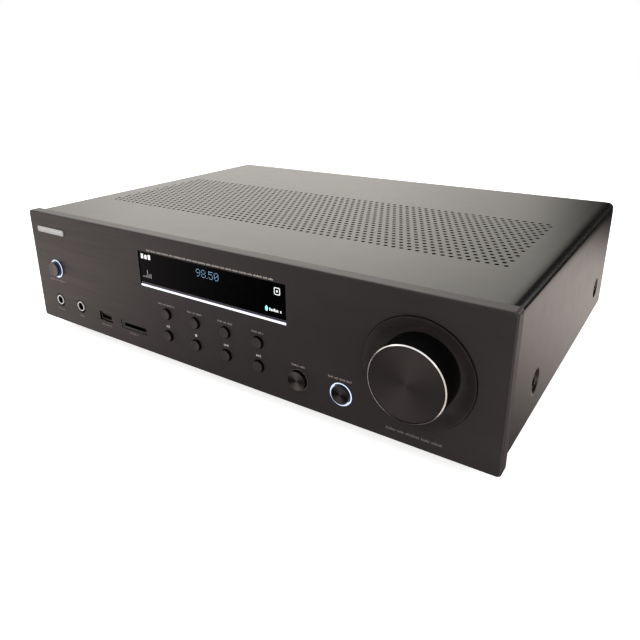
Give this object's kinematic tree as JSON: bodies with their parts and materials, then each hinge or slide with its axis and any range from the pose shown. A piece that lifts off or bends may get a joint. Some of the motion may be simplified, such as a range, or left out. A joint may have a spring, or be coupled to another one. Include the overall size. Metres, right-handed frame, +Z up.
{
  "type": "stereo receiver",
  "caption": "Full-width stereo receiver with a large volume knob in a dish, display, push buttons, front sockets, perforated cover and rear terminals.",
  "frame": {"origin": "bottom centre of the bounding box, on the surface under the feet", "axes": "+X to the right seen from the front, +Y from the front panel to the back, +Z up"},
  "size_m": [0.43, 0.335, 0.112],
  "materials": {
    "panel_metal": "satin, fine horizontal brushing, anodised dark",
    "cover_paint": "satin powder coat",
    "rear_paint": "satin powder coat",
    "steel": "galvanised sheet",
    "badge_metal": "brushed, plain",
    "window_gloss": "polished, smoked",
    "module_dark": "matt",
    "light_guide": "frosted, lit white",
    "light_ring": "frosted, lit blue-white",
    "button_black": "satin",
    "knob_metal": "spun face, anodised dark",
    "volume_metal": "spun face, anodised dark, bright-cut rim",
    "dish_plastic": "satin",
    "black_plastic": "moulded",
    "red_plastic": "moulded",
    "chrome_metal": "polished nickel",
    "gold_metal": "gold-plated",
    "rca_metal": "nickel sockets in a moulded block",
    "encoder_metal": "plated",
    "screw_black": "black oxide",
    "foot_plastic": "moulded",
    "rubber": "matt",
    "circuit_board": "green solder mask",
    "transformer_core": "wound copper wire under clear film",
    "heatsink_metal": "black anodised extrusion",
    "capacitor_can": "sleeved can",
    "ribbon": "flat ribbon"
  },
  "bodies": {
    "chassis": {"front_panel": "panel_metal", "front_frame": "steel", "badge_plate": "badge_metal", "display_window": "window_gloss", "display_module": "module_dark", "display_light_bar": "light_guide", "power_light_ring": "light_ring", "select_light_ring": "light_ring", "menu_encoders": "encoder_metal", "volume_dish": "dish_plastic", "volume_encoder": "encoder_metal", "panel_nuts": "chrome_metal", "headphone_jack": "black_plastic", "line_in_jack": "black_plastic", "jack_ferrules": "chrome_metal", "usb_port": "chrome_metal", "card_slot": "black_plastic", "front_board": "circuit_board", "tact_switches": "black_plastic", "top_cover": "cover_paint", "cover_screws": "screw_black", "chassis_base": "steel", "rear_panel": "rear_paint", "feet": "foot_plastic", "foot_pads": "rubber", "foot_screws": "encoder_metal", "speaker_terminal_block": "black_plastic", "speaker_terminal_posts": "gold_metal", "rca_block": "rca_metal", "antenna_socket": "chrome_metal", "optical_socket": "black_plastic", "ground_post": "chrome_metal", "mains_inlet": "black_plastic", "toroidal_transformer": "transformer_core", "transformer_clamp": "steel", "heatsink": "heatsink_metal", "output_transistors": "black_plastic", "main_board": "circuit_board", "filter_capacitors": "capacitor_can", "tuner_module": "steel", "ribbon_cable": "ribbon"},
    "volume_knob": {"volume_knob_cap": "volume_metal", "volume_knob_core": "black_plastic", "volume_shaft": "encoder_metal"},
    "source_selector": {"source_knob": "knob_metal"},
    "select_dial": {"select_knob": "knob_metal"},
    "power_button": {"power_button": "button_black"},
    "info_button": {"info_button": "button_black"},
    "band_button": {"band_button": "button_black"},
    "memory_button": {"memory_button": "button_black"},
    "repeat_button": {"repeat_button": "button_black"},
    "play_pause_button": {"play_pause_button": "button_black"},
    "stop_button": {"stop_button": "button_black"},
    "previous_button": {"previous_button": "button_black"},
    "next_button": {"next_button": "button_black"},
    "left_plus_cap": {"left_plus_cap": "red_plastic"},
    "left_minus_cap": {"left_minus_cap": "black_plastic"},
    "right_minus_cap": {"right_minus_cap": "black_plastic"},
    "right_plus_cap": {"right_plus_cap": "red_plastic"},
    "ground_nut": {"ground_nut": "chrome_metal"}
  },
  "joints": [
    {"name": "volume_turn", "type": "hinge", "parent": "chassis", "child": "volume_knob", "pos_m": [0.1617, -0.1515, 0.0614], "axis": [0, 1, 0], "continuous": true},
    {"name": "source_turn", "type": "hinge", "parent": "chassis", "child": "source_selector", "pos_m": [0.077, -0.1515, 0.031], "axis": [0, 1, 0], "continuous": true},
    {"name": "select_turn", "type": "hinge", "parent": "chassis", "child": "select_dial", "pos_m": [0.1103, -0.1515, 0.0307], "axis": [0, 1, 0], "continuous": true},
    {"name": "power_button_press", "type": "slide", "parent": "chassis", "child": "power_button", "axis": [0, 1, 0], "range_m": [0, 0.001], "stiffness_N_per_m": 1500},
    {"name": "info_button_press", "type": "slide", "parent": "chassis", "child": "info_button", "axis": [0, 1, 0], "range_m": [0, 0.001], "stiffness_N_per_m": 1500},
    {"name": "band_button_press", "type": "slide", "parent": "chassis", "child": "band_button", "axis": [0, 1, 0], "range_m": [0, 0.001], "stiffness_N_per_m": 1500},
    {"name": "memory_button_press", "type": "slide", "parent": "chassis", "child": "memory_button", "axis": [0, 1, 0], "range_m": [0, 0.001], "stiffness_N_per_m": 1500},
    {"name": "repeat_button_press", "type": "slide", "parent": "chassis", "child": "repeat_button", "axis": [0, 1, 0], "range_m": [0, 0.001], "stiffness_N_per_m": 1500},
    {"name": "play_pause_button_press", "type": "slide", "parent": "chassis", "child": "play_pause_button", "axis": [0, 1, 0], "range_m": [0, 0.001], "stiffness_N_per_m": 1500},
    {"name": "stop_button_press", "type": "slide", "parent": "chassis", "child": "stop_button", "axis": [0, 1, 0], "range_m": [0, 0.001], "stiffness_N_per_m": 1500},
    {"name": "previous_button_press", "type": "slide", "parent": "chassis", "child": "previous_button", "axis": [0, 1, 0], "range_m": [0, 0.001], "stiffness_N_per_m": 1500},
    {"name": "next_button_press", "type": "slide", "parent": "chassis", "child": "next_button", "axis": [0, 1, 0], "range_m": [0, 0.001], "stiffness_N_per_m": 1500},
    {"name": "left_plus_cap_turn", "type": "hinge", "parent": "chassis", "child": "left_plus_cap", "pos_m": [-0.1135, 0.1495, 0.045], "axis": [0, -1, 0], "range_deg": [0, 1080]},
    {"name": "left_minus_cap_turn", "type": "hinge", "parent": "chassis", "child": "left_minus_cap", "pos_m": [-0.0945, 0.1495, 0.045], "axis": [0, -1, 0], "range_deg": [0, 1080]},
    {"name": "right_minus_cap_turn", "type": "hinge", "parent": "chassis", "child": "right_minus_cap", "pos_m": [-0.0755, 0.1495, 0.045], "axis": [0, -1, 0], "range_deg": [0, 1080]},
    {"name": "right_plus_cap_turn", "type": "hinge", "parent": "chassis", "child": "right_plus_cap", "pos_m": [-0.0565, 0.1495, 0.045], "axis": [0, -1, 0], "range_deg": [0, 1080]},
    {"name": "ground_nut_turn", "type": "hinge", "parent": "chassis", "child": "ground_nut", "pos_m": [0.112, 0.1485, 0.045], "axis": [0, -1, 0], "range_deg": [0, 1080]}
  ]
}
